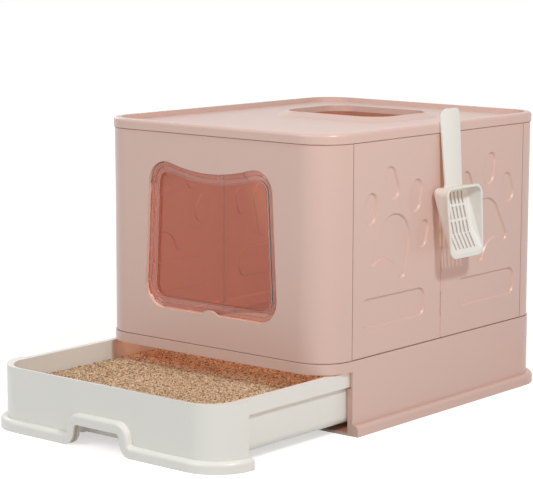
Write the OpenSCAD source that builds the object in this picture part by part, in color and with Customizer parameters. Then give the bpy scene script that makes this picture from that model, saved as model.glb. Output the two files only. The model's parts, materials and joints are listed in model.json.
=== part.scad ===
// Foldable cat litter box: a hinged wall ring stands on a base with a pull-out litter drawer,
// under a lid with a top exit. Millimetres, +Z up, +Y towards the back.
// The origin is on the floor, at the centre of the base.

/* [Body] */
// Width of the wall ring
body_w = 386; // [384:1:400]
// Depth of the wall ring, front to back
body_d = 480; // [474:1:482]
// Outer radius of the body's upright corners
corner_r = 46; // [34:1:48]
// How far the front and rear walls return along the sides
return_len = 50; // [50:1:56]
// Thickness of the wall panels
skin_t = 2.5; // [2:0.1:3]
// Height of the walls, from the base's ledge to the lid's seat
wall_h = 284.5; // [270:0.5:310]

/* [Laps] */
// How far the base and the lid stand proud of the walls
proud = 1.3; // [0.8:0.1:2]
// Thickness of the base's walls and of the lid's skirt
shell_t = 3; // [2.6:0.1:3.6]
// Gap between a wall's edge and what laps it
lap_gap = 0.3; // [0.2:0.05:0.4]
// Height of the open joint between a wall's shoulder and the edge that laps it
joint_h = 0.9; // [0.4:0.1:1.5]
// How far the lid's skirt hangs over the walls
lid_lap = 3.8; // [3:0.1:6]
// How far the base's collar stands up round the walls
base_lap = 8; // [6:0.5:12]
// Depth of the flange along the walls' top edge
flange_d = 8; // [7:0.1:9]

/* [Base] */
// Height of the ledge that the walls stand on
ledge_z = 88; // [87:1:100]
// Width of the ledge
ledge_w = 8; // [6:0.5:9]
// Thickness of the ledge
ledge_t = 2.5; // [2:0.1:3]
// Thickness of the floor plate
floor_t = 3; // [2:0.1:4]
// Gap between the drawer's front and the band above it
front_gap = 1.5; // [1:0.1:3]
// Gap between the drawer's front and the side walls behind it
wrap_gap = 1; // [0.5:0.1:2]
// Width of the base's front edge on each side of the tub
jamb_w = 8; // [6:0.5:10]
// Gap between the drawer's rim band and the front edge below it
jamb_gap = 2; // [1:0.5:4]
// How far the rolled foot stands out
foot_out = 8.7; // [6:0.1:10]
// Height of the rolled foot
foot_h = 14; // [11:0.5:16]
// Radius of the foot's upper edge
foot_r = 5; // [4:0.1:5.6]
// Thickness of the foot's rolled lip
foot_t = 3; // [2.4:0.1:3.4]

/* [Lid] */
// Thickness of the lid's deck
deck_t = 2.5; // [2:0.1:3]
// Height of the raised rim above the deck
rim_h = 6.5; // [4:0.5:9]
// Width of the raised rim
rim_w = 10; // [9.5:0.1:12]
// Radius of the rim's outer edge
rim_r = 4; // [3:0.5:5]
// Width of the top exit
exit_w = 172; // [150:1:200]
// Depth of the top exit
exit_d = 130; // [120:1:160]
// Corner radius of the top exit
exit_r = 34; // [24:1:50]
// Distance of the exit's centre behind the lid's centre
exit_y = 65; // [55:1:95]
// Height of the exit's raised lip above the deck
exit_lip_h = 6; // [3:0.5:8]
// Width of the lip's flat top
exit_lip_w = 2.5; // [2:0.5:5]
// How far the deck slopes up to the lip
exit_slope = 15; // [6:1:20]

/* [Door] */
// Height of the door opening's sill above the floor
sill_z = 138; // [130:1:150]
// Height of the hinge pins and of the ears' centres above the floor
ear_z = 301.5; // [290:0.5:310]
// Sideways distance of each ear's centre
ear_x = 76; // [70:1:80]
// Radius of the ears
ear_r = 29; // [26:0.5:32]
// Height of the dip between the ears above their centres
dip_h = 18.3; // [14:0.1:20]
// Sideways distance of each lower corner's centre
foot_x = 82; // [78:1:90]
// Radius of the door's lower corners
door_r = 30; // [24:1:36]
// Depth of the frame that lines the opening
frame_d = 9; // [8:0.5:12]
// Gap round the flap
flap_gap = 1.5; // [1:0.1:2.5]
// How far the flap hangs behind the front face
flap_set = 3.2; // [2.8:0.1:4]
// Thickness of the flap's rim bead
bead_t = 5; // [4.6:0.1:6]
// Width of the flap's rim bead
bead_w = 5; // [4:0.5:7]
// Thickness of the flap's clear sheet
sheet_t = 2; // [1.5:0.1:2.5]
// Distance from the flap's edge to its dished field
dish_in = 13; // [10:0.5:18]
// Depth of the dished field
dish_d = 3; // [1.5:0.5:5]
// Radius of the flap's pins
pin_r = 2; // [1.5:0.1:2.2]
// Length of the flap's pins beyond the opening's edge
pin_l = 6; // [4:0.5:8]
// Radial clearance of every pin and rod in its bore
pin_clear = 0.08; // [0.04:0.01:0.1]
// Width of the stop on the sill
stop_w = 29; // [20:1:40]
// Height of the stop on the sill
stop_h = 6; // [4:0.5:8]

/* [Hinges] */
// Radius of the corner hinge rods
rod_r = 1.3; // [1:0.1:1.5]
// Radius of the hinge knuckles
knuckle_r = 2.6; // [2.4:0.1:3]
// Knuckles in each corner hinge
knuckle_n = 7; // [3:2:11]
// How far each knuckle's arm reaches from the seam
knuckle_reach = 7.2; // [6.4:0.1:9]
// Distance of the hinge from the laps above and below it
hinge_end = 8; // [6:1:20]
// Depth of each rod's blind end
rod_end = 2; // [1:0.5:4]
// Distance of the deep flange from a corner seam
flange_gap = 4; // [3.6:0.1:6]
// Gap between neighbouring knuckles
knuckle_gap = 0.6; // [0.4:0.1:1.2]
// Gap between a hinge knuckle and the panel that passes it
knuckle_clear = 0.3; // [0.2:0.05:0.5]
// Half of the gap at each upright seam
seam_gap = 0.5; // [0.3:0.1:0.8]
// Radius of the knuckles of the middle hinge on each side
barrel_r = 1.5; // [1.4:0.1:1.8]
// Radius of the middle hinge rods
wire_r = 0.7; // [0.6:0.1:0.9]
// Knuckles in each middle hinge
barrel_n = 9; // [5:2:13]
// Depth of the upright ribs, from the outer face
rib_d = 6.5; // [5:0.5:7]
// Width of the upright ribs
rib_w = 6; // [4:0.5:8]

/* [Paw prints] */
// Depth of the pressed shapes
press_d = 2.5; // [1:0.1:3]
// How far the sides of the pressed shapes slope, from their floor to the outer face
press_slope = 2; // [0.5:0.1:3]
// Height of the paw's middle above the floor
paw_z = 240; // [230:1:260]
// Clear strip between the paw print and either end of its panel
paw_margin = 27; // [22:1:40]
// Height of the pill shape's middle above the floor
pill_z = 151.5; // [140:0.5:160]
// Clear strip between the pill shape and either end of its panel
pill_margin = 28; // [24:1:40]
// Height of the pill shape
pill_h = 36; // [28:1:40]
// Corner radius of the pill shape
pill_r = 12; // [8:0.5:16]

/* [Drawer] */
// How far the drawer stands open
pull = 196; // [0:1:300]
// Height of the drawer's rim
drawer_h = 81; // [76:1:82]
// Thickness of the drawer's walls
drawer_t = 3; // [2.4:0.1:3.6]
// Gap between the drawer's rim and the base's side walls
drawer_gap = 2.5; // [1.5:0.1:4]
// How far the drawer's rim band stands out from its tub
band_out = 6; // [4:0.5:8]
// Height of the drawer's rim band
band_h = 18.5; // [12:0.5:24]
// Height of the tub's underside above the floor
tub_z = 14; // [10:0.5:18]
// Radius of the tub's lower edge
tub_edge = 10; // [6:0.5:14]
// Corner radius of the tub
tub_r = 42; // [30:1:46]
// Sideways distance of each runner under the tub
runner_x = 110; // [80:1:130]
// Distance of the runners behind the drawer's front
runner_start = 60; // [40:1:90]
// Width of each runner
runner_w = 6; // [4:0.5:8]
// Height of the hand notch in the drawer's foot
notch_h = 27.5; // [24:0.5:30]
// Half width of the notch's flat top
notch_top = 33; // [26:1:40]
// Radius of the notch's upper corners
notch_r = 5; // [4:0.5:8]
// Slope of the notch's sides, in degrees
notch_slope = 80; // [70:1:85]
// How much the notch's lower bends clear the height of the rolled foot
notch_ease = 4; // [2:0.5:8]
// Height of the litter's surface above the floor
litter_z = 55; // [40:1:60]
// Depth of the finger pocket behind the notch
pocket_d = 15; // [10:0.5:20]
// Gap between the litter and the tub's walls
litter_gap = 0.3; // [0.2:0.1:0.5]

/* [Scoop] */
// Distance of the scoop behind the centre of the right side
scoop_y = 10.7; // [-60:0.1:60]
// How far the hanging scoop leans out from the wall, in degrees
scoop_lean = 4; // [3:0.5:6]
// Thickness of the scoop's walls
scoop_t = 2.2; // [1.8:0.1:2.6]
// Width of the handle at its top
handle_w = 42; // [36:0.5:46]
// Width of the handle at the basket
handle_end_w = 37.5; // [32:0.5:42]
// Height of the arch across the handle
handle_arch = 3.6; // [2:0.1:4]
// Distance of the handle's outer face from the lid's side
handle_out = 6.2; // [6:0.1:9]
// How far the handle stands up above the lid's rim
handle_up = 18; // [12:0.5:24]
// How far the handle hangs down from the lid's rim
handle_down = 87; // [80:0.5:100]
// Radius of the handle's upper corners
handle_r = 12; // [6:0.5:16]
// Flare of the handle on each side where it joins the basket
handle_flare = 3; // [1:0.5:5]
// How far the handle reaches into the basket's top
handle_lap = 3; // [2:0.5:5]
// Width of the hook behind the handle
hook_w = 4.8; // [4:0.1:8]
// How far the hook's leg hangs behind the lid's rim
hook_down = 5.5; // [4:0.1:6]
// Height of the gusset between the hook and the handle
hook_rib = 10; // [6:0.5:14]
// Distance of the basket's mouth from the lid's side
mouth_out = 20.5; // [18:0.5:26]
// Length of the basket's mouth
mouth_l = 91; // [84:1:100]
// Width of the basket's mouth at the handle
mouth_w = 78; // [70:1:84]
// Corner radius of the mouth at the handle
mouth_r = 12; // [8:0.5:16]
// Width of the basket's mouth at its tip
tip_w = 72; // [64:1:80]
// Corner radius of the mouth at its tip
tip_r = 10; // [7:0.5:14]
// How far the rolled edge of the mouth stands out
mouth_lip = 1.2; // [0.6:0.1:2]
// How far the basket's floor lies behind the lid's side at the handle
floor_in = 2.3; // [0:0.1:2.5]
// Width of the basket's floor at the handle
floor_w = 74; // [66:1:78]
// Length of the basket's floor, from the handle to the bend
floor_l = 63; // [60:1:70]
// How far the floor rises from the handle to the bend
floor_rise = 8.7; // [5:0.1:12]
// Width of the basket's floor at the bend
bend_w = 66; // [58:1:72]
// How far the floor rises from the bend to the tip
tip_rise = 12.1; // [8:0.1:13]
// Width of the basket's floor at the tip
tip_floor_w = 58; // [50:1:64]
// Distance from the floor's tip to the mouth's tip
floor_tip = 5; // [3:0.5:8]
// Corner radius of the basket's floor
floor_r = 8; // [5:0.5:10]
// Slots in each row
slot_n = 6; // [4:1:7]
// Distance between neighbouring slots, centre to centre
slot_pitch = 8.4; // [7:0.1:9]
// Width of each slot
slot_w = 3.6; // [2:0.1:4]
// Length of each slot
slot_l = 16; // [12:0.5:16.5]
// Distance between neighbouring rows of slots, start to start
row_pitch = 19.5; // [18:0.5:20]
// Length of each slot beyond the bend
tip_slot_l = 20; // [16:0.5:21]
// Distance of those slots from the bend
tip_slot_in = 1.2; // [0.8:0.1:2]

/* [Hidden] */
$fn = 64;
over = 1;
hair = 0.05;
half_w = body_w / 2;
half_d = body_d / 2;
seam_y = half_d - return_len;
out_w = body_w + 2 * proud;
out_d = body_d + 2 * proud;
out_r = corner_r + proud;
lap_in = shell_t - proud + lap_gap;
wall_top = ledge_z + wall_h;
base_top = ledge_z + base_lap;
deck_top = wall_top + deck_t;
lid_top = deck_top + rim_h;
skirt_z = wall_top - lid_lap;
shoulder_lo = base_top + joint_h;
shoulder_hi = skirt_z - joint_h;
door_y = -half_d;
hinge_depth = skin_t + knuckle_clear + knuckle_r;
hinge_x = half_w - hinge_depth;
lip_d = lap_in + skin_t;
knuckle_lo = base_top + hinge_end;
knuckle_hi = skirt_z - hinge_end;
knuckle_pitch = (knuckle_hi - knuckle_lo) / knuckle_n;
rod_lo = knuckle_lo + rod_end;
rod_hi = knuckle_hi - rod_end / 2;
barrel_lo = shoulder_lo + joint_h;
barrel_hi = shoulder_hi - joint_h;
barrel_pitch = (barrel_hi - barrel_lo) / barrel_n;
wire_lo = barrel_lo + rod_end;
wire_hi = barrel_hi - rod_end / 2;
paw_w = 136;
paw_shift = 8;
paw_k = (seam_y - 2 * paw_margin) / paw_w;
paw_y = seam_y / 2 + paw_shift * paw_k;
pill_l = seam_y - 2 * pill_margin;
pill_shift = 2 * paw_k;
cut_h = press_d + over;
// Circles of the paw print, each as [x, y, radius], for a print paw_w wide round its middle
PAW_TOES = [
    [[-10, 83, 10], [-4, 64, 12.5]],
    [[48, 62, 10], [42, 44, 12.5]],
    [[-49, 52, 10.5], [-53, 36, 12.5]],
    [[64, 9, 8.5], [58, -6, 10.5]],
];
PAD_DOME = [0, 0, 32];
PAD_RIGHT = [14, -44, 8];
PAD_LEFT = [-42, -22, 8];
PAD_HOLLOW = [-25, -56, 33.5];
dip_r = (ear_x * ear_x + dip_h * dip_h - ear_r * ear_r) / (2 * (ear_r - dip_h));
flap_y = door_y + flap_set + bead_t / 2;
band_w = out_w - 2 * shell_t - 2 * drawer_gap;
drawer_rear = out_d / 2 - shell_t - drawer_gap;
tub_w = band_w - 2 * band_out;
tub_rear = drawer_rear - band_out;
apron_y = -seam_y - wrap_gap;
notch_foot_r = foot_h + notch_ease;
basket_top = -handle_down + handle_lap;
bend_x = floor_rise - floor_in;
bend_z = basket_top - floor_l;
floor_tip_z = basket_top - mouth_l + floor_tip;

// ---------- shared shapes ----------

// Rounded rectangle round the origin
module round_rect(w, d, r) {
    square([w - 2 * r, d], center = true);
    square([w, d - 2 * r], center = true);
    for (x = [-1, 1], y = [-1, 1])
        translate([x * (w / 2 - r), y * (d / 2 - r)]) circle(r);
}

// Sweeps a profile straight along one side: x of the profile points outwards, y up
module side_sweep(dist, length) {
    translate([dist, 0, 0]) rotate([90, 0, 0]) linear_extrude(length, center = true) children();
}

// Sweeps a profile all round a rounded rectangle
module sweep_round(w, d, r) {
    for (a = [0, 180]) rotate(a) side_sweep(w / 2, d - 2 * r) children();
    for (a = [90, 270]) rotate(a) side_sweep(d / 2, w - 2 * r) children();
    for (i = [0:3]) {
        sx = (i == 0 || i == 3) ? 1 : -1;
        sy = (i < 2) ? 1 : -1;
        translate([sx * (w / 2 - r), sy * (d / 2 - r), 0])
            rotate(90 * i) rotate_extrude(angle = 90) translate([r, 0]) children();
    }
}

// Sweeps a profile along the front and round its two corners
module sweep_front(w, d, r) {
    rotate(270) side_sweep(d / 2, w - 2 * r) children();
    for (s = [0, 1]) mirror([s, 0, 0]) translate([w / 2 - r, r - d / 2, 0])
        rotate(270) rotate_extrude(angle = 90) translate([r, 0]) children();
}

// Keeps only what lies behind y_cut
module behind(y_cut) {
    size = 3 * body_d;
    intersection() {
        children();
        translate([-size / 2, y_cut, -size / 2]) cube(size);
    }
}

// Keeps only what lies in front of y_cut
module before(y_cut) {
    size = 3 * body_d;
    intersection() {
        children();
        translate([-size / 2, y_cut - size, -size / 2]) cube(size);
    }
}

// Rolled foot, filled in: x stands out from the wall, y is up from the floor
module foot_end_profile(slim = 0) {
    w = foot_out - slim;
    h = foot_h - slim;
    translate([-over, slim]) square([w + over - foot_r, h - slim]);
    translate([-over, slim]) square([w + over, h - foot_r - slim]);
    translate([w - foot_r, h - foot_r]) intersection() {
        circle(foot_r);
        square(foot_r);
    }
}

// Rolled foot, open underneath; slim takes a little off every side
module foot_profile(slim = 0) {
    cavity_w = foot_out - foot_t + slim;
    cavity_h = foot_h - foot_t + slim;
    difference() {
        foot_end_profile(slim);
        polygon([
            [0, -over], [cavity_w, -over], [cavity_w, cavity_h - foot_t], [cavity_w - foot_t, cavity_h],
            [0, cavity_h],
        ]);
    }
}

// ---------- base ----------

module base() {
    color([0.86, 0.72, 0.68]) {
        // collar and ledge, all round
        difference() {
            translate([0, 0, ledge_z - ledge_t])
                linear_extrude(base_lap + ledge_t) round_rect(out_w, out_d, out_r);
            translate([0, 0, ledge_z]) linear_extrude(base_lap + over)
                round_rect(out_w - 2 * shell_t, out_d - 2 * shell_t, out_r - shell_t);
            translate([0, 0, ledge_z - ledge_t - over]) linear_extrude(ledge_t + 2 * over)
                round_rect(
                    out_w - 2 * (shell_t + ledge_w), out_d - 2 * (shell_t + ledge_w),
                    out_r - shell_t - ledge_w);
        }
        // band above the drawer's front
        translate([0, 0, drawer_h + front_gap])
            linear_extrude(ledge_z - drawer_h - front_gap) shell_outline();
        // side and rear walls, with the floor and the rolled foot
        behind(-seam_y) {
            linear_extrude(ledge_z) shell_outline();
            linear_extrude(floor_t) round_rect(out_w, out_d, out_r);
            sweep_round(out_w, out_d, out_r) foot_profile();
        }
        for (a = [0, 1]) mirror([a, 0, 0]) translate([0, shell_t / 2 - seam_y, 0]) {
            side_sweep(out_w / 2, shell_t) foot_end_profile();
            side_sweep(out_w / 2, shell_t) jamb_profile();
        }
    }
}

// Front edge of a side wall, turned in below the drawer's rim band
module jamb_profile() {
    low = floor_t / 2;
    translate([-jamb_w, low]) square([jamb_w - shell_t / 2, drawer_h - band_h - jamb_gap - low]);
}

module shell_outline() {
    difference() {
        round_rect(out_w, out_d, out_r);
        round_rect(out_w - 2 * shell_t, out_d - 2 * shell_t, out_r - shell_t);
    }
}

// ---------- wall ring ----------

// Section of every wall: x is minus the depth from the outer face, y is up
module wall_section(flange = flange_d) {
    polygon([
        [0, shoulder_lo], [0, shoulder_hi], [-lap_in, shoulder_hi], [-lap_in, wall_top],
        [-flange, wall_top], [-flange, wall_top - skin_t], [-lip_d, wall_top - skin_t],
        [-lip_d, shoulder_hi - skin_t], [-skin_t, shoulder_hi - skin_t - lap_in],
        [-skin_t, shoulder_lo + skin_t + lap_in], [-lip_d, shoulder_lo + skin_t],
        [-lip_d, ledge_z], [-lap_in, ledge_z], [-lap_in, shoulder_lo],
    ]);
}

// Front or rear wall without its opening: a U in plan, drawn as the front one
module end_wall() {
    sweep_front(body_w, body_d, corner_r) wall_section();
    for (s = [0, 1]) mirror([s, 0, 0]) {
        end_strip(corner_r - half_d, -seam_y - seam_gap);
        corner_rib(-1);
        corner_knuckles(0, -1);
    }
}

// Plain stretch of side wall between two places, with no deep flange
module end_strip(y0, y1) {
    translate([0, (y0 + y1) / 2, 0]) side_sweep(half_w, y1 - y0) wall_section(lip_d);
}

// Upright rib beside a corner seam; side is -1 on the end wall and 1 on the side panel
module corner_rib(side) {
    y = -seam_y + side * (knuckle_reach - over + rib_w / 2);
    translate([half_w - rib_d, y - rib_w / 2, shoulder_lo + skin_t])
        cube([rib_d - skin_t / 2, rib_w, shoulder_hi - shoulder_lo - 2 * skin_t]);
}

// Knuckles number first, first + 2, ... of the front right corner hinge
module corner_knuckles(first, side) {
    for (i = [first:2:knuckle_n - 1]) {
        z = knuckle_lo + i * knuckle_pitch + knuckle_gap / 2;
        length = knuckle_pitch - knuckle_gap;
        translate([hinge_x, -seam_y, z]) difference() {
            union() {
                cylinder(r = knuckle_r, h = length);
                translate([-knuckle_r, side > 0 ? 0 : -knuckle_reach, 0])
                    cube([hinge_depth - skin_t / 2 + knuckle_r, knuckle_reach, length]);
            }
            translate([0, 0, i == 0 ? rod_lo - z : -over])
                cylinder(r = rod_r + pin_clear, h = length + 2 * over);
            // room for the seam behind the outer faces
            translate([knuckle_r, -seam_gap, -over])
                cube([hinge_depth, 2 * seam_gap, length + 2 * over]);
        }
    }
}

module front_wall() {
    color([0.84, 0.70, 0.66]) {
        difference() {
            union() {
                end_wall();
                door_frame();
                for (s = [0, 1]) mirror([s, 0, 0]) pin_boss();
            }
            upright(door_y - over, frame_d + 2 * over) door_outline(0);
            for (s = [0, 1]) mirror([s, 0, 0]) pin_bore();
        }
        sill_stop();
    }
}

module rear_wall() {
    color([0.84, 0.70, 0.66]) mirror([0, 1, 0]) end_wall();
}

// Half of the right side, from the corner seam at its front to the middle seam.
// It carries the middle hinge's knuckles number first, first + 2, ...
module side_panel(first) {
    flange_start = -seam_y + flange_gap;
    rib_y = -barrel_r - knuckle_clear - rib_w;
    difference() {
        union() {
            translate([0, (flange_start - seam_gap) / 2, 0])
                side_sweep(half_w, -seam_gap - flange_start) wall_section();
            end_strip(-seam_y + seam_gap, flange_start);
            translate([half_w - rib_d, rib_y, shoulder_lo + skin_t])
                cube([rib_d - skin_t / 2, rib_w, shoulder_hi - shoulder_lo - 2 * skin_t]);
            corner_rib(1);
            corner_knuckles(1, 1);
            pressed(skin_t + press_d, skin_t);
            for (i = [first:2:barrel_n - 1]) barrel(i);
        }
        pressed_cut();
        for (i = [1 - first:2:barrel_n - 1]) barrel_notch(i);
        translate([half_w, 0, wire_lo]) cylinder(r = wire_r + pin_clear, h = barrel_hi - wire_lo + over);
    }
}

// Knuckle of the middle hinge, with the block that joins it to its panel
module barrel(i) {
    translate([half_w, 0, barrel_lo + i * barrel_pitch + knuckle_gap / 2]) {
        cylinder(r = barrel_r, h = barrel_pitch - knuckle_gap);
        translate([-skin_t + hair, -2 * barrel_r, 0])
            cube([skin_t - 2 * hair, 2 * barrel_r, barrel_pitch - knuckle_gap]);
    }
}

// Room in a panel's edge for a knuckle of the other panel
module barrel_notch(i) {
    reach = barrel_r + knuckle_clear;
    translate([half_w - rib_d, -reach, barrel_lo + i * barrel_pitch - knuckle_gap / 2])
        cube([rib_d + reach, reach, barrel_pitch + knuckle_gap]);
}

// Backs of the pressed shapes on the right side: depth from the outer face, grown by a margin
module pressed(depth, grow) {
    translate([half_w - depth, 0, 0]) rotate([90, 0, 90]) linear_extrude(depth - skin_t / 2) {
        translate([-paw_y, paw_z]) paw(grow);
        translate([-paw_y - pill_shift, pill_z])
            round_rect(pill_l + 2 * grow, pill_h + 2 * grow, pill_r + grow);
    }
}

// Pressed shapes themselves, with sloping sides that open towards the outer face
module pressed_cut() {
    translate([half_w - press_d, 0, 0]) rotate([90, 0, 90]) {
        translate([-paw_y, paw_z]) {
            for (t = PAW_TOES) toe_cut(t[0], t[1]);
            difference() {
                union() {
                    toe_cut(PAD_DOME, PAD_RIGHT);
                    toe_cut(PAD_DOME - [0, 0, 2 * hair], PAD_LEFT);
                    linear_extrude(cut_h) pad_middle();
                }
                translate(paw_place(PAD_HOLLOW)) translate([0, 0, -over]) slope_cone(
                    PAD_HOLLOW.z * paw_k, over + cut_h, -1);
            }
        }
        translate([-paw_y - pill_shift, pill_z]) hull() for (x = [-1, 1], y = [-1, 1])
            translate([x * (pill_l / 2 - pill_r), y * (pill_h / 2 - pill_r)])
                slope_cone(pill_r, cut_h, 1);
    }
}

// Cone of the given radius at mid-depth of the pressed shapes
module slope_cone(r, h, way) {
    slope = way * press_slope / press_d;
    low = r - slope * (press_d / 2 + h - cut_h);
    cylinder(r1 = low, r2 = low + slope * h, h = h, $fn = 48);
}

module toe_cut(tip, heel) {
    hull() {
        translate(paw_place(tip)) slope_cone(tip.z * paw_k, cut_h, 1);
        translate(paw_place(heel)) slope_cone(heel.z * paw_k, cut_h, 1);
    }
}

function paw_place(p) = [p.x * paw_k, p.y * paw_k, 0];

// Paw print round its middle: four toes and a pad
module paw(grow) {
    for (t = PAW_TOES) toe(t[0], t[1], grow);
    pad(grow);
}

// Egg shape from two circles
module toe(tip, heel, grow) {
    a = tip * paw_k + [0, 0, grow];
    b = heel * paw_k + [0, 0, grow];
    translate([a.x, a.y]) circle(a.z);
    translate([b.x, b.y]) circle(b.z);
    band(a.x, a.y, a.z, b.x, b.y, b.z);
}

// Quadrilateral between two circles, a hair inside their outer tangents
module band(x0, y0, r0, x1, y1, r1) {
    in0 = r0 - hair;
    in1 = r1 - hair;
    dist = norm([x1 - x0, y1 - y0]);
    along = atan2(y1 - y0, x1 - x0);
    lean = acos((r0 - r1) / dist);
    polygon([
        [x0 + in0 * cos(along + lean), y0 + in0 * sin(along + lean)],
        [x1 + in1 * cos(along + lean), y1 + in1 * sin(along + lean)],
        [x1 + in1 * cos(along - lean), y1 + in1 * sin(along - lean)],
        [x0 + in0 * cos(along - lean), y0 + in0 * sin(along - lean)],
    ]);
}

// Main pad: a dome with two lobes, hollowed from below
module pad(grow) {
    difference() {
        union() {
            toe(PAD_DOME, PAD_RIGHT, grow);
            toe(PAD_DOME, PAD_LEFT, grow);
            pad_middle();
        }
        translate(paw_place(PAD_HOLLOW)) circle(PAD_HOLLOW.z * paw_k - grow);
    }
}

module pad_middle() {
    polygon([for (p = [PAD_DOME, PAD_RIGHT, PAD_LEFT]) [p.x, p.y] * paw_k]);
}

// ---------- hinge rods ----------

module middle_rod() {
    color([0.75, 0.76, 0.78]) translate([half_w, 0, wire_lo])
        cylinder(r = wire_r, h = wire_hi - wire_lo);
}

module corner_rod() {
    color([0.75, 0.76, 0.78]) translate([hinge_x, -seam_y, rod_lo])
        cylinder(r = rod_r, h = rod_hi - rod_lo);
}

// ---------- lid ----------

module lid() {
    color([0.87, 0.74, 0.70]) {
        difference() {
            union() {
                translate([0, 0, wall_top]) linear_extrude(deck_t)
                    round_rect(out_w - 2 * rim_r, out_d - 2 * rim_r, out_r - rim_r);
                sweep_round(out_w, out_d, out_r) rim_profile();
                translate([0, exit_y, deck_top]) sweep_round(exit_w, exit_d, exit_r) lip_profile();
            }
            translate([0, exit_y, wall_top - over])
                linear_extrude(deck_t + exit_lip_h + 2 * over) round_rect(exit_w, exit_d, exit_r);
        }
    }
}

// Raised lip of the exit: x is out from the exit's edge, y is up from the deck
module lip_profile() {
    run = exit_slope / exit_lip_h;
    low = deck_t / 2;
    polygon([
        [-over, -low], [exit_lip_w + exit_slope + run * low, -low], [exit_lip_w, exit_lip_h],
        [-over, exit_lip_h],
    ]);
}

// Hollow rim and skirt of the lid: x is out from the outer face, y is up
module rim_profile() {
    difference() {
        union() {
            translate([-rim_w, wall_top]) square([rim_w - rim_r, lid_top - wall_top]);
            translate([-rim_w + rim_r, wall_top]) square([rim_w - rim_r, lid_top - wall_top - rim_r]);
            translate([-rim_r, lid_top - rim_r]) circle(rim_r);
            translate([-shell_t, skirt_z]) square([shell_t, lid_lap + over]);
        }
        translate([shell_t - rim_w, wall_top - over])
            square([rim_w - 2 * shell_t, lid_top - wall_top - shell_t + over]);
    }
}

// ---------- door ----------

// Draws an outline upright in the front plane and gives it a depth towards the back
module upright(y, depth) {
    translate([0, y + depth, 0]) rotate([90, 0, 0]) linear_extrude(depth) children();
}

// Cat-eared opening, drawn smaller by the inset all round
module door_outline(inset) {
    ear = ear_r - inset;
    low = door_r - inset;
    low_z = sill_z + door_r;
    difference() {
        union() {
            door_body(inset, low_z);
            for (s = [-1, 1]) {
                translate([s * ear_x, ear_z]) circle(ear);
                translate([s * foot_x, low_z]) circle(low);
            }
        }
        translate([0, ear_z + dip_h + dip_r]) circle(dip_r + inset, $fn = 200);
    }
}

// Straight-sided body between the four circles' tangent points
module door_body(inset, low_z) {
    ear = ear_r - inset;
    low = door_r - inset;
    dist = norm([foot_x - ear_x, low_z - ear_z]);
    side = atan2(low_z - ear_z, foot_x - ear_x) + acos((ear - low) / dist);
    meet = atan2(dip_h + dip_r, -ear_x);
    half = [
        [ear_x + ear * cos(meet), ear_z + ear * sin(meet)],
        [ear_x + ear * cos(side), ear_z + ear * sin(side)],
        [foot_x + low * cos(side), low_z + low * sin(side)],
        [foot_x, low_z - low],
    ];
    polygon([
        for (p = half) p,
        for (i = [len(half) - 1:-1:0]) [-half[i].x, half[i].y],
    ]);
}

module door_frame() {
    upright(door_y, frame_d) door_outline(-skin_t);
}

module pin_boss() {
    translate([ear_x + ear_r, flap_y, ear_z]) rotate([0, 90, 0])
        cylinder(r = pin_r + skin_t, h = pin_l + over + skin_t);
}

module pin_bore() {
    translate([ear_x, flap_y, ear_z]) rotate([0, 90, 0])
        cylinder(r = pin_r + pin_clear, h = ear_r + pin_l + over);
}

// Half-round stop in front of the flap's lower edge
module sill_stop() {
    r = (stop_w * stop_w / 4 + stop_h * stop_h) / (2 * stop_h);
    upright(door_y, skin_t) intersection() {
        translate([0, sill_z + stop_h - r]) circle(r);
        translate([-stop_w, sill_z - over]) square([2 * stop_w, stop_h + 2 * over]);
    }
}

module door_flap() {
    color([0.93, 0.80, 0.76, 0.35]) {
        bead_y = door_y + flap_set;
        web_y = bead_y + (bead_t - sheet_t) / 2;
        upright(bead_y, bead_t) difference() {
            door_outline(flap_gap);
            door_outline(flap_gap + bead_w);
        }
        upright(web_y, sheet_t) difference() {
            door_outline(flap_gap + bead_w / 2);
            door_outline(flap_gap + dish_in);
        }
        upright(web_y, sheet_t + dish_d) difference() {
            door_outline(flap_gap + dish_in - sheet_t);
            door_outline(flap_gap + dish_in);
        }
        upright(web_y + dish_d, sheet_t) door_outline(flap_gap + dish_in - over);
        for (s = [0, 1]) mirror([s, 0, 0])
            translate([ear_x + ear_r - flap_gap - bead_w / 2, flap_y, ear_z]) rotate([0, 90, 0])
                cylinder(r = pin_r, h = flap_gap + bead_w / 2 + pin_l);
    }
}

// ---------- drawer ----------

// Rounded rectangle of a given width, from y = front to y = rear
module tub_outline(w, front, rear, r) {
    translate([0, (front + rear) / 2]) round_rect(w, rear - front, r);
}

// Tub-shaped solid with a rounded lower edge
module tub_solid(w, front, rear, r, z0, z1, edge) {
    translate([0, 0, z0 + edge]) linear_extrude(z1 - z0 - edge) tub_outline(w, front, rear, r);
    translate([0, 0, z0]) linear_extrude(z1 - z0)
        tub_outline(w - 2 * edge, front + edge, rear - edge, r - edge);
    translate([0, (front + rear) / 2, z0 + edge])
        sweep_round(w - 2 * edge, rear - front - 2 * edge, r - edge) {
            intersection() {
                circle(edge);
                translate([0, -edge]) square(edge);
            }
            translate([-over, -edge]) square([over, edge]);
        }
}

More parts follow.
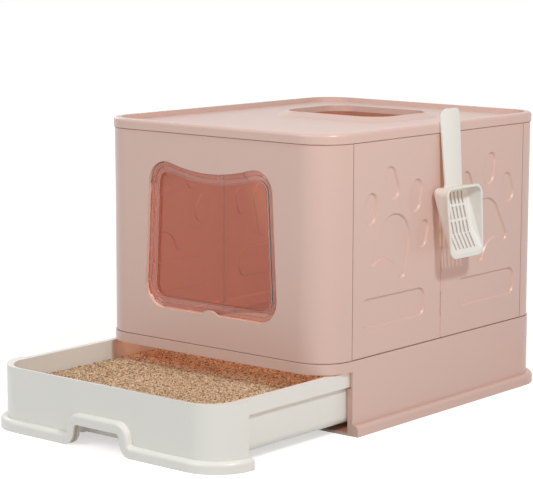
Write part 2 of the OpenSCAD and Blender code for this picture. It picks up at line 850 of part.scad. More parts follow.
module drawer_tray() {
    front = -out_d / 2;
    color([0.93, 0.94, 0.92]) translate([0, -pull, 0]) {
        difference() {
            union() {
                tub_solid(tub_w, front, tub_rear, tub_r, tub_z, drawer_h, tub_edge);
                // rim band, an upside-down channel round the tub
                translate([0, 0, drawer_h - band_h]) linear_extrude(band_h) difference() {
                    tub_outline(band_w, front, drawer_rear, tub_r + band_out);
                    tub_outline(
                        band_w - 2 * drawer_t, front + drawer_t, drawer_rear - drawer_t,
                        tub_r + band_out - drawer_t);
                }
                translate([0, 0, drawer_h - drawer_t]) linear_extrude(drawer_t) {
                    tub_outline(band_w, front, drawer_rear, tub_r + band_out);
                    intersection() {
                        round_rect(out_w, out_d, out_r);
                        translate([-out_w, -out_d]) square([2 * out_w, out_d + apron_y]);
                    }
                }
                apron();
            }
            difference() {
                tub_solid(
                    tub_w - 2 * drawer_t, front + drawer_t, tub_rear - drawer_t, tub_r - drawer_t,
                    tub_z + drawer_t, drawer_h + over, tub_edge - drawer_t);
                finger_pocket(drawer_t);
            }
            upright(front - over, pocket_d + over) notch_outline();
        }
        drawer_foot();
        for (s = [-1, 1]) translate([s * runner_x - runner_w / 2, front + runner_start, floor_t])
            cube([runner_w, tub_rear - front - runner_start - tub_edge, tub_z - floor_t + drawer_t / 2]);
    }
}

// Block round the finger pocket, grown by the given wall
module finger_pocket(wall) {
    translate([-notch_end() - wall, -out_d / 2, 0])
        cube([2 * (notch_end() + wall), pocket_d + wall, notch_h + wall]);
}

// Front panel of the drawer, wrapped round the corners back to the seam
module apron() {
    before(apron_y) linear_extrude(drawer_h) difference() {
        round_rect(out_w, out_d, out_r);
        round_rect(out_w - 2 * drawer_t, out_d - 2 * drawer_t, out_r - drawer_t);
    }
}

// Places along the notch's edge, right of centre
function notch_drop() = (notch_r + notch_foot_r) * (1 - cos(notch_slope));
function notch_run() = (notch_h - notch_drop()) / sin(notch_slope);
function notch_p1() = [notch_top + notch_r * sin(notch_slope), notch_h - notch_r * (1 - cos(notch_slope))];
function notch_p2() = notch_p1() + notch_run() * [cos(notch_slope), -sin(notch_slope)];
function notch_end() = notch_p2().x + notch_foot_r * sin(notch_slope);

module notch_outline() {
    for (s = [0, 1]) mirror([s, 0]) difference() {
        union() {
            polygon([
                [-over, -over], [notch_end(), -over], [notch_end(), 0], notch_p2(), notch_p1(),
                [notch_top, notch_h], [-over, notch_h],
            ]);
            translate([notch_top, notch_h - notch_r]) circle(notch_r);
        }
        translate([notch_end(), notch_foot_r]) circle(notch_foot_r);
    }
}

// Rolled foot along the drawer's front, up and over the notch and round the corners.
// The bends are a hair slimmer than the straights, which reach into them.
module drawer_foot() {
    reach = 0.5;
    gap_w = notch_end() - reach;
    before(apron_y) difference() {
        sweep_round(out_w, out_d, out_r) foot_profile();
        translate([-gap_w, -out_d, -over]) cube([2 * gap_w, out_d, foot_h + 2 * over]);
    }
    for (s = [0, 1]) mirror([s, 0, 0]) translate([0, apron_y - drawer_t / 2, 0])
        side_sweep(out_w / 2, drawer_t) foot_end_profile();
    translate([0, -out_d / 2, 0]) rotate([90, 0, 0])
        foot_run([-notch_top - reach, notch_h], 0, 2 * (notch_top + reach));
    for (s = [0, 1]) mirror([s, 0, 0]) translate([0, -out_d / 2, 0]) rotate([90, 0, 0]) {
        translate([notch_top, notch_h - notch_r, 0]) rotate(90 - notch_slope)
            rotate_extrude(angle = notch_slope)
                translate([notch_r, 0]) mirror([1, -1]) foot_profile(hair);
        foot_run(
            notch_p1() + reach * [-cos(notch_slope), sin(notch_slope)],
            -notch_slope, notch_run() + 2 * reach);
        translate([notch_end(), notch_foot_r, 0]) rotate(270 - notch_slope)
            rotate_extrude(angle = notch_slope)
                translate([notch_foot_r, 0]) rotate(90) foot_profile(hair);
    }
}

// Straight run of the rolled foot in the front plane
module foot_run(start, angle, length) {
    translate([start.x, start.y, 0]) rotate(angle) rotate([90, 0, 90])
        linear_extrude(length) mirror([1, -1]) foot_profile();
}

module litter_bed() {
    inset = drawer_t + litter_gap;
    color([0.75, 0.60, 0.46]) translate([0, -pull, 0]) difference() {
        tub_solid(
            tub_w - 2 * inset, -out_d / 2 + inset, tub_rear - inset, tub_r - inset,
            tub_z + drawer_t, litter_z, tub_edge - inset);
        finger_pocket(inset);
    }
}

// ---------- scoop ----------

// Drawn from the upper edge of the lid's side: x points outwards, z up
module scoop() {
    color([0.93, 0.93, 0.90]) translate([half_w + proud, scoop_y, lid_top]) {
        hook();
        rotate([0, -scoop_lean, 0]) difference() {
            union() {
                handle();
                basket_solid(0, mouth_out);
                translate([mouth_out - scoop_t, 0, 0]) mouth_plate(mouth_lip, scoop_t);
            }
            basket_solid(scoop_t, mouth_out + over);
            basket_slots();
        }
    }
}

// Hook over the lid's rim, with a gusset up the back of the handle
module hook() {
    leg_x = -rim_w - lap_gap;
    end_x = handle_out - scoop_t / 2;
    translate([0, hook_w / 2, 0]) rotate([90, 0, 0]) linear_extrude(hook_w) polygon([
        [leg_x - scoop_t, -hook_down], [leg_x, -hook_down], [leg_x, 0], [end_x, 0],
        [end_x, hook_rib], [-rim_w / 2, scoop_t], [leg_x - scoop_t, scoop_t],
    ]);
}

// Arched plate, cut to the handle's outline
module handle() {
    arch_r = (handle_w * handle_w / 4 + handle_arch * handle_arch) / (2 * handle_arch);
    height = handle_up + handle_down;
    intersection() {
        translate([handle_out - arch_r, 0, -handle_down]) difference() {
            cylinder(r = arch_r, h = height, $fn = 200);
            translate([0, 0, -over]) cylinder(r = arch_r - scoop_t, h = height + 2 * over, $fn = 200);
        }
        rotate([90, 0, 90]) linear_extrude(handle_out + over) handle_outline(height);
    }
}

module handle_outline(height) {
    flare_z = -handle_down + 2 * handle_flare;
    side = handle_w / 2 + over;
    end = handle_end_w / 2;
    intersection() {
        translate([0, handle_up - height]) round_rect(handle_w, 2 * height, handle_r);
        polygon([
            [-side, handle_up + over], [-end, flare_z], [-end - handle_flare, -handle_down - over],
            [end + handle_flare, -handle_down - over], [end, flare_z], [side, handle_up + over],
        ]);
    }
}

// Flat plate in the shape of the basket's mouth, grown by the given margin
module mouth_plate(grow, depth) {
    tip_z = basket_top - mouth_l;
    hull() {
        disc_pair(0, mouth_w, mouth_r, basket_top - mouth_r, grow, depth);
        disc_pair(0, tip_w, tip_r, tip_z + tip_r, grow, depth);
    }
}

// Two upright discs whose outer edges lie the given width apart
module disc_pair(x, w, r, z, grow, depth) {
    for (s = [-1, 1]) translate([x, s * (w / 2 - r), z]) rotate([0, 90, 0])
        cylinder(r = r + grow, h = depth, $fn = 32);
}

// Basket, filled in: its mouth faces outwards, and its floor slopes out to the tip in two stretches
module basket_solid(t, mouth_x) {
    thin = 0.1;
    hull() {
        translate([mouth_x - thin, 0, 0]) mouth_plate(-t, thin);
        disc_pair(t - floor_in, floor_w, floor_r, basket_top - floor_r, -t, thin);
        disc_pair(t + bend_x, bend_w, floor_r, bend_z + floor_r, -t, thin);
        disc_pair(t + bend_x + tip_rise, tip_floor_w, floor_r, floor_tip_z + floor_r, -t, thin);
    }
}

// Slots through the basket's floor: some rows above the bend and one row below it
module basket_slots() {
    run = floor_l - 2 * floor_r;
    rows = ceil(run / row_pitch);
    translate([-floor_in, 0, bend_z + run]) rotate([0, -atan2(floor_rise, run), 0])
        for (row = [0:rows - 1]) slot_row(row * row_pitch - floor_r, slot_l);
    translate([bend_x, 0, bend_z]) rotate([0, -atan2(tip_rise, bend_z - floor_tip_z), 0])
        slot_row(tip_slot_in, tip_slot_l);
}

module slot_row(start, length) {
    for (i = [0:slot_n - 1]) {
        y = (i - (slot_n - 1) / 2) * slot_pitch - slot_w / 2;
        translate([-2 * scoop_t, y, -start - length]) cube([4 * scoop_t, slot_w, length]);
    }
}

module right_front_panel() {
    color([0.84, 0.70, 0.66]) side_panel(0);
}

module right_rear_panel() {
    color([0.84, 0.70, 0.66]) mirror([0, 1, 0]) side_panel(1);
}

module left_front_panel() {
    color([0.84, 0.70, 0.66]) mirror([1, 0, 0]) side_panel(0);
}

module left_rear_panel() {
    color([0.84, 0.70, 0.66]) mirror([1, 0, 0]) mirror([0, 1, 0]) side_panel(1);
}

module right_front_hinge_rod() {
    corner_rod();
}

module right_rear_hinge_rod() {
    mirror([0, 1, 0]) corner_rod();
}

module left_front_hinge_rod() {
    mirror([1, 0, 0]) corner_rod();
}

module left_rear_hinge_rod() {
    mirror([1, 0, 0]) mirror([0, 1, 0]) corner_rod();
}

module right_middle_hinge_rod() {
    middle_rod();
}

module left_middle_hinge_rod() {
    mirror([1, 0, 0]) middle_rod();
}

base();
front_wall();
rear_wall();
right_front_panel();
right_rear_panel();
left_front_panel();
left_rear_panel();
right_front_hinge_rod();
right_rear_hinge_rod();
left_front_hinge_rod();
left_rear_hinge_rod();
right_middle_hinge_rod();
left_middle_hinge_rod();
lid();
door_flap();
drawer_tray();
litter_bed();
scoop();
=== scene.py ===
import json
import math
import random

import bpy
from mathutils import Matrix, Vector, noise


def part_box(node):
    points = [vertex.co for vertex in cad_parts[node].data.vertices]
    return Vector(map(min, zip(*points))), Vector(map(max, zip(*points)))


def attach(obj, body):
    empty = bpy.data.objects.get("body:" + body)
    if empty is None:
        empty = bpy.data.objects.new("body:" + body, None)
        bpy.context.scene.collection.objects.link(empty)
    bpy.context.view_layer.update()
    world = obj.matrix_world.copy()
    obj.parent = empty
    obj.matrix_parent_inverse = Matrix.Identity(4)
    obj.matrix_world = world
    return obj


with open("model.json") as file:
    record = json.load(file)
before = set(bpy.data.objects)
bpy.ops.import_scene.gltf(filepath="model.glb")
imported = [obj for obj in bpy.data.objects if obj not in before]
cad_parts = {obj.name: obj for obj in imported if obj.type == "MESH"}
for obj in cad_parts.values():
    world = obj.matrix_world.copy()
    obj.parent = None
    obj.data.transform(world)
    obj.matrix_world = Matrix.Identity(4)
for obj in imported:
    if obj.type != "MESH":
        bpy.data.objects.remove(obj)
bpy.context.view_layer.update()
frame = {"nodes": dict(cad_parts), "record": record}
nodes = frame["nodes"]
MM = 0.001


# ---------- node helpers ----------

# Sockets of a Mix node that is set to colour.
MIX_FACTOR = 0
MIX_FIRST = 6
MIX_SECOND = 7
MIX_RESULT = 2


def new_material(name):
    mat = bpy.data.materials.new(name)
    mat.use_nodes = True
    tree = mat.node_tree
    tree.nodes.clear()
    out = tree.nodes.new("ShaderNodeOutputMaterial")
    return mat, tree, out


def add(tree, kind, **values):
    """New node; each value goes to the input of that name, or else to the property."""
    node = tree.nodes.new(kind)
    for key, value in values.items():
        key = key.replace("_", " ") if key.replace("_", " ") in node.inputs else key
        if key in node.inputs:
            node.inputs[key].default_value = value
        else:
            setattr(node, key, value)
    return node


def rgba(colour):
    return (*colour, 1.0)


def noise_texture(tree, scale, detail, stretch=(1, 1, 1)):
    """Noise in the piece's own coordinates, stretched along its axes."""
    place = add(tree, "ShaderNodeTexCoord")
    stretched = add(tree, "ShaderNodeMapping")
    stretched.inputs["Scale"].default_value = stretch
    node = add(tree, "ShaderNodeTexNoise", Scale=scale, Detail=detail)
    tree.links.new(place.outputs["Object"], stretched.inputs["Vector"])
    tree.links.new(stretched.outputs["Vector"], node.inputs["Vector"])
    return node


def noise_value(tree, scale, detail, stretch=(1, 1, 1)):
    return noise_texture(tree, scale, detail, stretch).outputs["Fac"]


def spread(tree, value, low, high, start=0.0, end=1.0):
    """Value from start..end, spread over low..high."""
    node = add(tree, "ShaderNodeMapRange")
    node.inputs["From Min"].default_value = start
    node.inputs["From Max"].default_value = end
    node.inputs["To Min"].default_value = low
    node.inputs["To Max"].default_value = high
    tree.links.new(value, node.inputs["Value"])
    return node.outputs["Result"]


def mix_colour(tree, factor, first, second):
    """First colour at factor 0, second at 1. Each is a colour or another node's output."""
    mix = add(tree, "ShaderNodeMix", data_type="RGBA")
    tree.links.new(factor, mix.inputs[MIX_FACTOR])
    for socket, colour in ((MIX_FIRST, first), (MIX_SECOND, second)):
        if isinstance(colour, tuple):
            mix.inputs[socket].default_value = rgba(colour)
        else:
            tree.links.new(colour, mix.inputs[socket])
    return mix.outputs[MIX_RESULT]


def soft_edges(tree, radius):
    """Normals that round every edge off by the radius."""
    bevel = add(tree, "ShaderNodeBevel", samples=6)
    bevel.inputs["Radius"].default_value = radius
    return bevel.outputs["Normal"]


def bump(tree, height, strength, distance, normal=None):
    node = add(tree, "ShaderNodeBump", Strength=strength, Distance=distance)
    tree.links.new(height, node.inputs["Height"])
    if normal:
        tree.links.new(normal, node.inputs["Normal"])
    return node.outputs["Normal"]


def let_light_through(tree, skin, out, tint):
    """Shadow rays pass, tinted, as through a thin wall or a clear sheet."""
    through = add(tree, "ShaderNodeBsdfTransparent")
    through.inputs["Color"].default_value = rgba(tint)
    path = add(tree, "ShaderNodeLightPath")
    mix = add(tree, "ShaderNodeMixShader")
    tree.links.new(path.outputs["Is Shadow Ray"], mix.inputs[0])
    tree.links.new(skin.outputs["BSDF"], mix.inputs[1])
    tree.links.new(through.outputs["BSDF"], mix.inputs[2])
    tree.links.new(mix.outputs["Shader"], out.inputs["Surface"])


# ---------- moulded plastic ----------

PLASTIC_IOR = 1.49
PLASTIC_ROUGH = 0.34
ROUGH_DRIFT = 0.04

# Painted shade: the line between two surfaces is darkened in the colour where they meet closer than the
# reach.
PAINTED_SHADE_REACH = 2.5 * MM
PAINTED_SEAM_SHADE = 0.25
PAINTED_SHADE_TIGHT = 0.05
PAINTED_SHADE_OPEN = 0.55

SOFT_EDGE = 0.7 * MM
SOFT_PANEL_EDGE = 1.5 * MM

ROSE = {"colour": (0.655, 0.464, 0.41), "shade": (0.635, 0.445, 0.395), "tint": (0.82, 0.67, 0.59)}
WHITE = {"colour": (0.765, 0.762, 0.728), "shade": (0.74, 0.74, 0.708), "tint": (0.62, 0.50, 0.40)}


def with_painted_seam_shade(tree, tone, shade):
    """The tone, with painted shade darkening it in tight seams."""
    close = add(tree, "ShaderNodeAmbientOcclusion", samples=8)
    close.inputs["Distance"].default_value = PAINTED_SHADE_REACH
    openness = spread(tree, close.outputs["AO"], low=0.0, high=1.0, start=PAINTED_SHADE_TIGHT, end=PAINTED_SHADE_OPEN)
    painted_shade = tuple(PAINTED_SEAM_SHADE * c for c in shade)
    return mix_colour(tree, openness, painted_shade, tone)


def moulded(name, colour, shade, tint, edge):
    """Satin moulded plastic: a slow drift of tone, a fine spark-eroded grain, soft edges and painted shade
    in tight seams.
    """
    mat, tree, out = new_material(name)
    skin = add(tree, "ShaderNodeBsdfPrincipled")
    skin.inputs["IOR"].default_value = PLASTIC_IOR
    drift = mix_colour(tree, noise_value(tree, scale=4.0, detail=2.0), colour, shade)
    patches = noise_value(tree, scale=26.0, detail=3.0)
    rough = spread(tree, patches, PLASTIC_ROUGH - ROUGH_DRIFT, PLASTIC_ROUGH + ROUGH_DRIFT)
    flow = noise_value(tree, scale=9.0, detail=1.0)
    waves = bump(tree, flow, strength=0.05, distance=4 * MM, normal=soft_edges(tree, edge))
    fine = noise_value(tree, scale=1400.0, detail=2.0)
    grain = bump(tree, fine, strength=0.12, distance=0.12 * MM, normal=waves)
    # The base colour carries painted shade in tight seams.
    tree.links.new(with_painted_seam_shade(tree, drift, shade), skin.inputs["Base Color"])
    tree.links.new(rough, skin.inputs["Roughness"])
    tree.links.new(grain, skin.inputs["Normal"])
    let_light_through(tree, skin, out, tint)
    return mat


# ---------- clear flap ----------

CLEAR_IOR = 1.5
CLEAR_EDGE = 0.6 * MM
CLEAR_HAZE = 0.02
CLEAR_TINT = (0.95, 0.68, 0.56)

# Painted highlight and painted light: the flap's bead is painted paler at its front as a highlight, and its
# field, which lies further back, is painted deeper, partly the flap's own tint and partly the warm light
# inside the box seen through it.
BEAD_HIGHLIGHT_COLOUR = (0.95, 0.80, 0.79)
BEAD_HIGHLIGHT_TO_Y = -234.5 * MM
FIELD_TINT_AND_INNER_LIGHT = (0.88, 0.40, 0.24)
FIELD_TINT_FROM_Y = -232.5 * MM


def clear_sheet(name):
    """Clear tinted moulding, painted with a pale highlight at its front that deepens to its tint and
    painted inner light at its back.
    """
    mat, tree, out = new_material(name)
    skin = add(tree, "ShaderNodeBsdfPrincipled")
    skin.inputs["IOR"].default_value = CLEAR_IOR
    skin.inputs["Transmission Weight"].default_value = 1.0
    place = add(tree, "ShaderNodeTexCoord")
    axes = add(tree, "ShaderNodeSeparateXYZ")
    tree.links.new(place.outputs["Object"], axes.inputs["Vector"])
    highlight_to_field = spread(tree, axes.outputs["Y"], low=0.0, high=1.0, start=BEAD_HIGHLIGHT_TO_Y, end=FIELD_TINT_FROM_Y)
    haze = spread(tree, noise_value(tree, scale=40.0, detail=3.0), low=0.0, high=CLEAR_HAZE)
    flow = noise_value(tree, scale=14.0, detail=1.0)
    waves = bump(tree, flow, strength=0.01, distance=2 * MM, normal=soft_edges(tree, CLEAR_EDGE))
    # The base colour carries a painted highlight at the front and painted inner light in the field.
    tree.links.new(mix_colour(tree, highlight_to_field, BEAD_HIGHLIGHT_COLOUR, FIELD_TINT_AND_INNER_LIGHT), skin.inputs["Base Color"])
    tree.links.new(haze, skin.inputs["Roughness"])
    tree.links.new(waves, skin.inputs["Normal"])
    let_light_through(tree, skin, out, CLEAR_TINT)
    return mat


# ---------- steel wire ----------

STEEL_COLOUR = (0.6, 0.61, 0.63)
STEEL_ROUGH = (0.22, 0.42)
ALONG_WIRE = (1, 1, 0.04)


def steel(name):
    """Drawn steel wire, with fine lines along its length."""
    mat, tree, out = new_material(name)
    lines = noise_value(tree, scale=1600.0, detail=2.0, stretch=ALONG_WIRE)
    skin = add(tree, "ShaderNodeBsdfPrincipled")
    skin.inputs["Base Color"].default_value = rgba(STEEL_COLOUR)
    skin.inputs["Metallic"].default_value = 1.0
    tree.links.new(spread(tree, lines, *STEEL_ROUGH), skin.inputs["Roughness"])
    tree.links.new(bump(tree, lines, strength=0.15, distance=0.1 * MM), skin.inputs["Normal"])
    tree.links.new(skin.outputs["BSDF"], out.inputs["Surface"])
    return mat


# ---------- litter material ----------

# Voronoi cells per metre: each cell is a granule a little over 2 mm across.
GRANULES = 430.0
GRANULE_WARP = 6 * MM

# How far from a cell's middle the painted shade in the gap between granules starts and is full, in cells;
# the full mark also ends each granule's bump.
GAP_SHADE_START = 0.45
GAP_FULL = 0.8

LITTER_ROUGH = 0.85
LITTER_SHINE = 0.2
# Painted shade: the colour put in the gaps between granules.
LITTER_GAP_SHADE = (0.22, 0.12, 0.06)
LITTER_TONES = (
    (0.0, (0.44, 0.25, 0.13)),
    (0.2, (0.66, 0.44, 0.27)),
    (0.5, (0.80, 0.57, 0.37)),
    (0.8, (0.87, 0.67, 0.47)),
    (1.0, (0.93, 0.80, 0.62)),
)


def granule_cells(tree):
    """Voronoi cells whose outlines are bent by noise in plan."""
    warp = noise_texture(tree, scale=160.0, detail=1.0)
    place = add(tree, "ShaderNodeTexCoord")
    shift = add(tree, "ShaderNodeVectorMath", operation="MULTIPLY_ADD")
    shift.inputs[1].default_value = (GRANULE_WARP, GRANULE_WARP, 0.0)
    cells = add(tree, "ShaderNodeTexVoronoi", Scale=GRANULES)
    tree.links.new(warp.outputs["Color"], shift.inputs[0])
    tree.links.new(place.outputs["Object"], shift.inputs[2])
    tree.links.new(shift.outputs["Vector"], cells.inputs["Vector"])
    return cells


def litter_tone(tree, pick):
    """Colour out of LITTER_TONES for a value from 0 to 1."""
    tint = add(tree, "ShaderNodeValToRGB")
    ramp = tint.color_ramp.elements
    ramp[0].color = rgba(LITTER_TONES[0][1])
    ramp[1].color = rgba(LITTER_TONES[-1][1])
    for at, colour in LITTER_TONES[1:-1]:
        ramp.new(at).color = rgba(colour)
    tree.links.new(pick, tint.inputs["Fac"])
    return tint.outputs["Color"]


def litter(name, by_grain):
    """Tan granules with painted shade in the gaps between cells. By grain, each loose piece has its own
    tone; else each cell does.
    """
    mat, tree, out = new_material(name)
    cells = granule_cells(tree)
    if by_grain:
        pick = add(tree, "ShaderNodeNewGeometry").outputs["Random Per Island"]
    else:
        split = add(tree, "ShaderNodeSeparateColor")
        tree.links.new(cells.outputs["Color"], split.inputs["Color"])
        pick = split.outputs["Red"]
    gap_shade = spread(tree, cells.outputs["Distance"], low=0.0, high=1.0, start=GAP_SHADE_START, end=GAP_FULL)
    height = spread(tree, cells.outputs["Distance"], low=1.0, high=0.0, end=GAP_FULL)
    skin = add(tree, "ShaderNodeBsdfPrincipled")
    skin.inputs["Roughness"].default_value = LITTER_ROUGH
    skin.inputs["Specular IOR Level"].default_value = LITTER_SHINE
    # The gaps between granules carry painted shade.
    tree.links.new(mix_colour(tree, gap_shade, litter_tone(tree, pick), LITTER_GAP_SHADE), skin.inputs["Base Color"])
    tree.links.new(bump(tree, height, strength=0.9, distance=1.2 * MM), skin.inputs["Normal"])
    tree.links.new(skin.outputs["BSDF"], out.inputs["Surface"])
    return mat


# ---------- a material for every CAD node ----------

PANEL = moulded("pink_panel_plastic", **ROSE, edge=SOFT_PANEL_EDGE)
LITTER = litter("litter", by_grain=False)
GRAINS = litter("litter_grains", by_grain=True)
BY_SLOT = {
    "pink_plastic": moulded("pink_plastic", **ROSE, edge=SOFT_EDGE),
    "white_plastic": moulded("white_plastic", **WHITE, edge=SOFT_EDGE),
    "clear_plastic": clear_sheet("clear_plastic"),
    "hinge_steel": steel("hinge_steel"),
    "litter": LITTER,
}
SLOT_OF = {s["node"]: s["material_slot"] for s in frame["record"]["subparts"]}
for name, obj in nodes.items():
    for slot in obj.material_slots:
        slot.material = PANEL if name.endswith("_panel") else BY_SLOT[SLOT_OF[name]]


# ---------- litter pieces ----------

LITTER_R = 38 * MM
LITTER_STEP = 4 * MM

# The raked surface stands clear of the bed's flat top and rises over the shore to the mound.
LITTER_LIFT = 0.5 * MM
MOUND = 3.2 * MM
MOUND_SHORE = 25 * MM
MOUND_MEAN = 0.55
MOUND_SWING = 0.6

# Noise per metre: broad heaps, with finer and lower ripples on them.
HEAPS = 9
RIPPLES = 31
RIPPLE_SHARE = 0.5

GRAIN_SEED = 11
GRAIN_COUNT = 12000
GRAIN_SIZES = (0.9 * MM, 1.6 * MM)
GRAIN_AXES = ((1.0, 1.5), (0.75, 1.0), (0.7, 0.9))
GRAIN_MARGIN = 1.5 * MM
GRAIN_SEAT = 0.25
GRAIN_TILT = 0.6
GRAIN_RAGGED = 0.2

# A grain's tips are numbered +x, -x, +y, -y, +z, -z.
GRAIN_TIPS = 6
GRAIN_FACES = (
    (0, 2, 4), (2, 1, 4), (1, 3, 4), (3, 0, 4),
    (2, 0, 5), (1, 2, 5), (3, 1, 5), (0, 3, 5),
)


def new_piece(name, verts, faces, mat, body, slot):
    mesh = bpy.data.meshes.new(name)
    mesh.from_pydata(verts, [], faces)
    mesh.materials.append(mat)
    mesh.polygons.foreach_set("use_smooth", [True] * len(faces))
    mesh.update()
    obj = bpy.data.objects.new(name, mesh)
    bpy.context.scene.collection.objects.link(obj)
    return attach(obj, body)


def plan(low, high):
    """Middle and half size of a box seen from above."""
    middle = ((low[0] + high[0]) / 2, (low[1] + high[1]) / 2)
    half = ((high[0] - low[0]) / 2, (high[1] - low[1]) / 2)
    return middle, half


def edge_distance(x, y, half_w, half_d):
    """How far (x, y) lies inside the litter's rounded outline round the origin."""
    over_x = abs(x) - (half_w - LITTER_R)
    over_y = abs(y) - (half_d - LITTER_R)
    if over_x > 0 and over_y > 0:
        return LITTER_R - math.hypot(over_x, over_y)
    return LITTER_R - max(over_x, over_y)


def waves_at(x, y, per_metre, layer):
    return noise.noise(Vector((x * per_metre, y * per_metre, layer)))


def mound(x, y, inside):
    """Height of the litter's raked surface above the bed's flat top."""
    heap = waves_at(x, y, HEAPS, layer=0.3) + RIPPLE_SHARE * waves_at(x, y, RIPPLES, layer=4.1)
    rise = min(1.0, inside / MOUND_SHORE)
    return LITTER_LIFT + MOUND * rise * (MOUND_MEAN + MOUND_SWING * heap)


def litter_surface(low, high):
    (mid_x, mid_y), (half_w, half_d) = plan(low, high)
    count_x = int(2 * half_w / LITTER_STEP)
    count_y = int(2 * half_d / LITTER_STEP)
    verts, faces, index = [], [], {}
    for j in range(count_y + 1):
        for i in range(count_x + 1):
            x = -half_w + 2 * half_w * i / count_x
            y = -half_d + 2 * half_d * j / count_y
            inside = edge_distance(x, y, half_w, half_d)
            if inside < 0:
                continue
            index[i, j] = len(verts)
            verts.append((mid_x + x, mid_y + y, high[2] + mound(x, y, inside)))
    for (i, j) in index:
        corners = [(i, j), (i + 1, j), (i + 1, j + 1), (i, j + 1)]
        if all(c in index for c in corners):
            faces.append([index[c] for c in corners])
    return verts, faces


def grain_tips(rng, size, centre):
    """Six tips of one ragged, turned granule."""
    axes = [size * rng.uniform(*span) for span in GRAIN_AXES]
    turn = Matrix.Rotation(rng.uniform(0, math.tau), 3, "Z")
    turn = turn @ Matrix.Rotation(rng.uniform(-GRAIN_TILT, GRAIN_TILT), 3, "X")
    tips = []
    for k in range(3):
        for side in (1, -1):
            tip = Vector((0, 0, 0))
            tip[k] = side * axes[k]
            tip += Vector([rng.uniform(-GRAIN_RAGGED, GRAIN_RAGGED) * size for _ in range(3)])
            tips.append(tuple(centre + turn @ tip))
    return tips


def litter_grains(low, high):
    rng = random.Random(GRAIN_SEED)
    (mid_x, mid_y), (half_w, half_d) = plan(low, high)
    verts, faces = [], []
    while len(verts) < GRAIN_TIPS * GRAIN_COUNT:
        x = rng.uniform(-half_w, half_w)
        y = rng.uniform(-half_d, half_d)
        inside = edge_distance(x, y, half_w, half_d)
        if inside < GRAIN_MARGIN:
            continue
        size = rng.uniform(*GRAIN_SIZES)
        z = high[2] + mound(x, y, inside) + GRAIN_SEAT * size
        first = len(verts)
        verts += grain_tips(rng, size, Vector((mid_x + x, mid_y + y, z)))
        faces += [tuple(first + tip for tip in face) for face in GRAIN_FACES]
    return verts, faces


bed_low, bed_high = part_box("litter_bed")
new_piece("litter_surface", *litter_surface(bed_low, bed_high), LITTER, "drawer", "litter")
new_piece("litter_grains", *litter_grains(bed_low, bed_high), GRAINS, "drawer", "litter")


# ---------- floor and world ----------

FLOOR_HALF = 9.0
FLOOR_SHADE = 0.70

# The floor's glow grows from NEAR, half a metre from the middle, to FAR at the reach.
GLOW_NEAR = 0.56
GLOW_FAR = 0.80
GLOW_START = 0.5
GLOW_REACH = 2.5

SKY = 0.31
SKY_COLOUR = (1.0, 0.97, 0.93)


def seen_rays(tree):
    """1 for camera, glossy and transmission rays."""
    path = add(tree, "ShaderNodeLightPath")
    first = add(tree, "ShaderNodeMath", operation="MAXIMUM")
    second = add(tree, "ShaderNodeMath", operation="MAXIMUM")
    tree.links.new(path.outputs["Is Camera Ray"], first.inputs[0])
    tree.links.new(path.outputs["Is Glossy Ray"], first.inputs[1])
    tree.links.new(first.outputs[0], second.inputs[0])
    tree.links.new(path.outputs["Is Transmission Ray"], second.inputs[1])
    return second.outputs[0]


def floor_material():
    """A pale cloth takes the object's shadow, and a glow makes it read as paper white."""
    mat, tree, out = new_material("floor")
    cloth = add(tree, "ShaderNodeBsdfDiffuse")
    cloth.inputs["Color"].default_value = rgba((FLOOR_SHADE,) * 3)
    place = add(tree, "ShaderNodeTexCoord")
    far = add(tree, "ShaderNodeVectorMath", operation="LENGTH")
    tree.links.new(place.outputs["Object"], far.inputs[0])
    reach = spread(tree, far.outputs["Value"], GLOW_NEAR, GLOW_FAR, GLOW_START, GLOW_REACH)
    strength = add(tree, "ShaderNodeMath", operation="MULTIPLY")
    tree.links.new(reach, strength.inputs[0])
    tree.links.new(seen_rays(tree), strength.inputs[1])
    glow = add(tree, "ShaderNodeEmission")
    both = add(tree, "ShaderNodeAddShader")
    tree.links.new(strength.outputs[0], glow.inputs["Strength"])
    tree.links.new(cloth.outputs[0], both.inputs[0])
    tree.links.new(glow.outputs[0], both.inputs[1])
    tree.links.new(both.outputs[0], out.inputs["Surface"])
    return mat


def make_floor():
    s = FLOOR_HALF
    mesh = bpy.data.meshes.new("floor")
    mesh.from_pydata([(-s, -s, 0), (s, -s, 0), (s, s, 0), (-s, s, 0)], [], [(0, 1, 2, 3)])
    mesh.materials.append(floor_material())
    obj = bpy.data.objects.new("floor", mesh)
    bpy.context.scene.collection.objects.link(obj)


def make_world():
    """A dim warm sky gives the light, and what is seen of it is white."""
    world = bpy.data.worlds.new("studio")
    bpy.context.scene.world = world
    world.use_nodes = True
    tree = world.node_tree
    tree.nodes.clear()
    out = add(tree, "ShaderNodeOutputWorld")
    soft = add(tree, "ShaderNodeBackground", Strength=SKY)
    soft.inputs["Color"].default_value = rgba(SKY_COLOUR)
    white = add(tree, "ShaderNodeBackground", Strength=1.0)
    white.inputs["Color"].default_value = rgba((1, 1, 1))
    mix = add(tree, "ShaderNodeMixShader")
    tree.links.new(seen_rays(tree), mix.inputs[0])
    tree.links.new(soft.outputs[0], mix.inputs[1])
    tree.links.new(white.outputs[0], mix.inputs[2])
    tree.links.new(mix.outputs[0], out.inputs["Surface"])


# ---------- lamps and camera ----------

LAMP_AIM = Vector((0, 0, 0.2))

# Power that shows a facing white surface as full white from a metre away.
FULL_POWER = math.pi ** 2

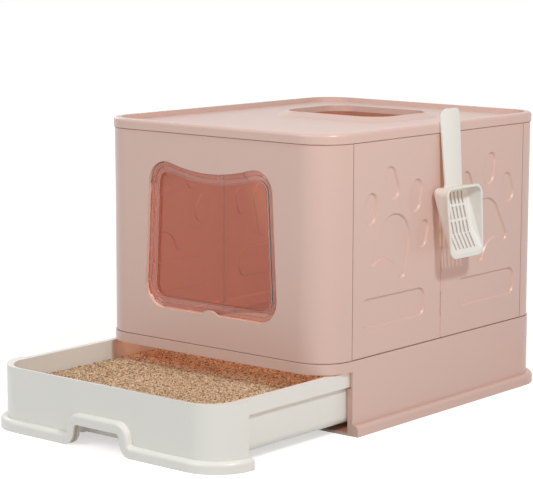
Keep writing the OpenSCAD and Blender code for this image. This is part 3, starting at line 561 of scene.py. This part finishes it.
CAMERA_PLACE = (1.6662, -2.0909, 0.6164)
CAMERA_YAW = math.radians(38.019)
CAMERA_PITCH = math.radians(8.844)
CAMERA_ROLL = math.radians(0.448)
CAMERA_SENSOR = 36
CAMERA_LENS = 133.23
CAMERA_SHIFT = (-0.1468, 0.0111)
CAMERA_REACH = 40


def add_lamp(name, place, size, level, colour=(1, 1, 1)):
    """Round lamp that lights a surface facing it at LAMP_AIM to the given level, where 1 is full."""
    lamp = bpy.data.lights.new(name, "AREA")
    lamp.shape = "DISK"
    lamp.size = size
    lamp.color = colour
    way = LAMP_AIM - Vector(place)
    lamp.energy = FULL_POWER * level * way.length_squared
    obj = bpy.data.objects.new(name, lamp)
    bpy.context.scene.collection.objects.link(obj)
    obj.location = place
    obj.rotation_euler = way.to_track_quat("-Z", "Y").to_euler()


def camera_axes():
    """The camera's right, up and back, after its yaw, pitch and roll."""
    level = math.cos(CAMERA_PITCH)
    forward = Vector((-math.sin(CAMERA_YAW) * level, math.cos(CAMERA_YAW) * level, -math.sin(CAMERA_PITCH)))
    right = Vector((math.cos(CAMERA_YAW), math.sin(CAMERA_YAW), 0))
    up = right.cross(forward)
    right = right * math.cos(CAMERA_ROLL) + up * math.sin(CAMERA_ROLL)
    return right, right.cross(forward), -forward


def make_camera():
    cam = bpy.data.cameras.new("camera")
    obj = bpy.data.objects.new("camera", cam)
    bpy.context.scene.collection.objects.link(obj)
    bpy.context.scene.camera = obj
    obj.matrix_world = Matrix.Translation(CAMERA_PLACE) @ Matrix(camera_axes()).transposed().to_4x4()
    cam.sensor_width = CAMERA_SENSOR
    cam.lens = CAMERA_LENS
    cam.shift_x, cam.shift_y = CAMERA_SHIFT
    cam.clip_end = CAMERA_REACH


make_floor()
make_world()
add_lamp("key", place=(1.45, -0.5, 1.45), size=0.2, level=0.55, colour=(1.0, 0.96, 0.92))
add_lamp("fill", place=(-0.9, -2.9, 2.4), size=2.0, level=0.38, colour=(0.97, 1.0, 1.0))
add_lamp("back", place=(-2.6, 0.9, 1.5), size=1.6, level=0.15)
make_camera()
bpy.context.scene.view_settings.view_transform = "Standard"
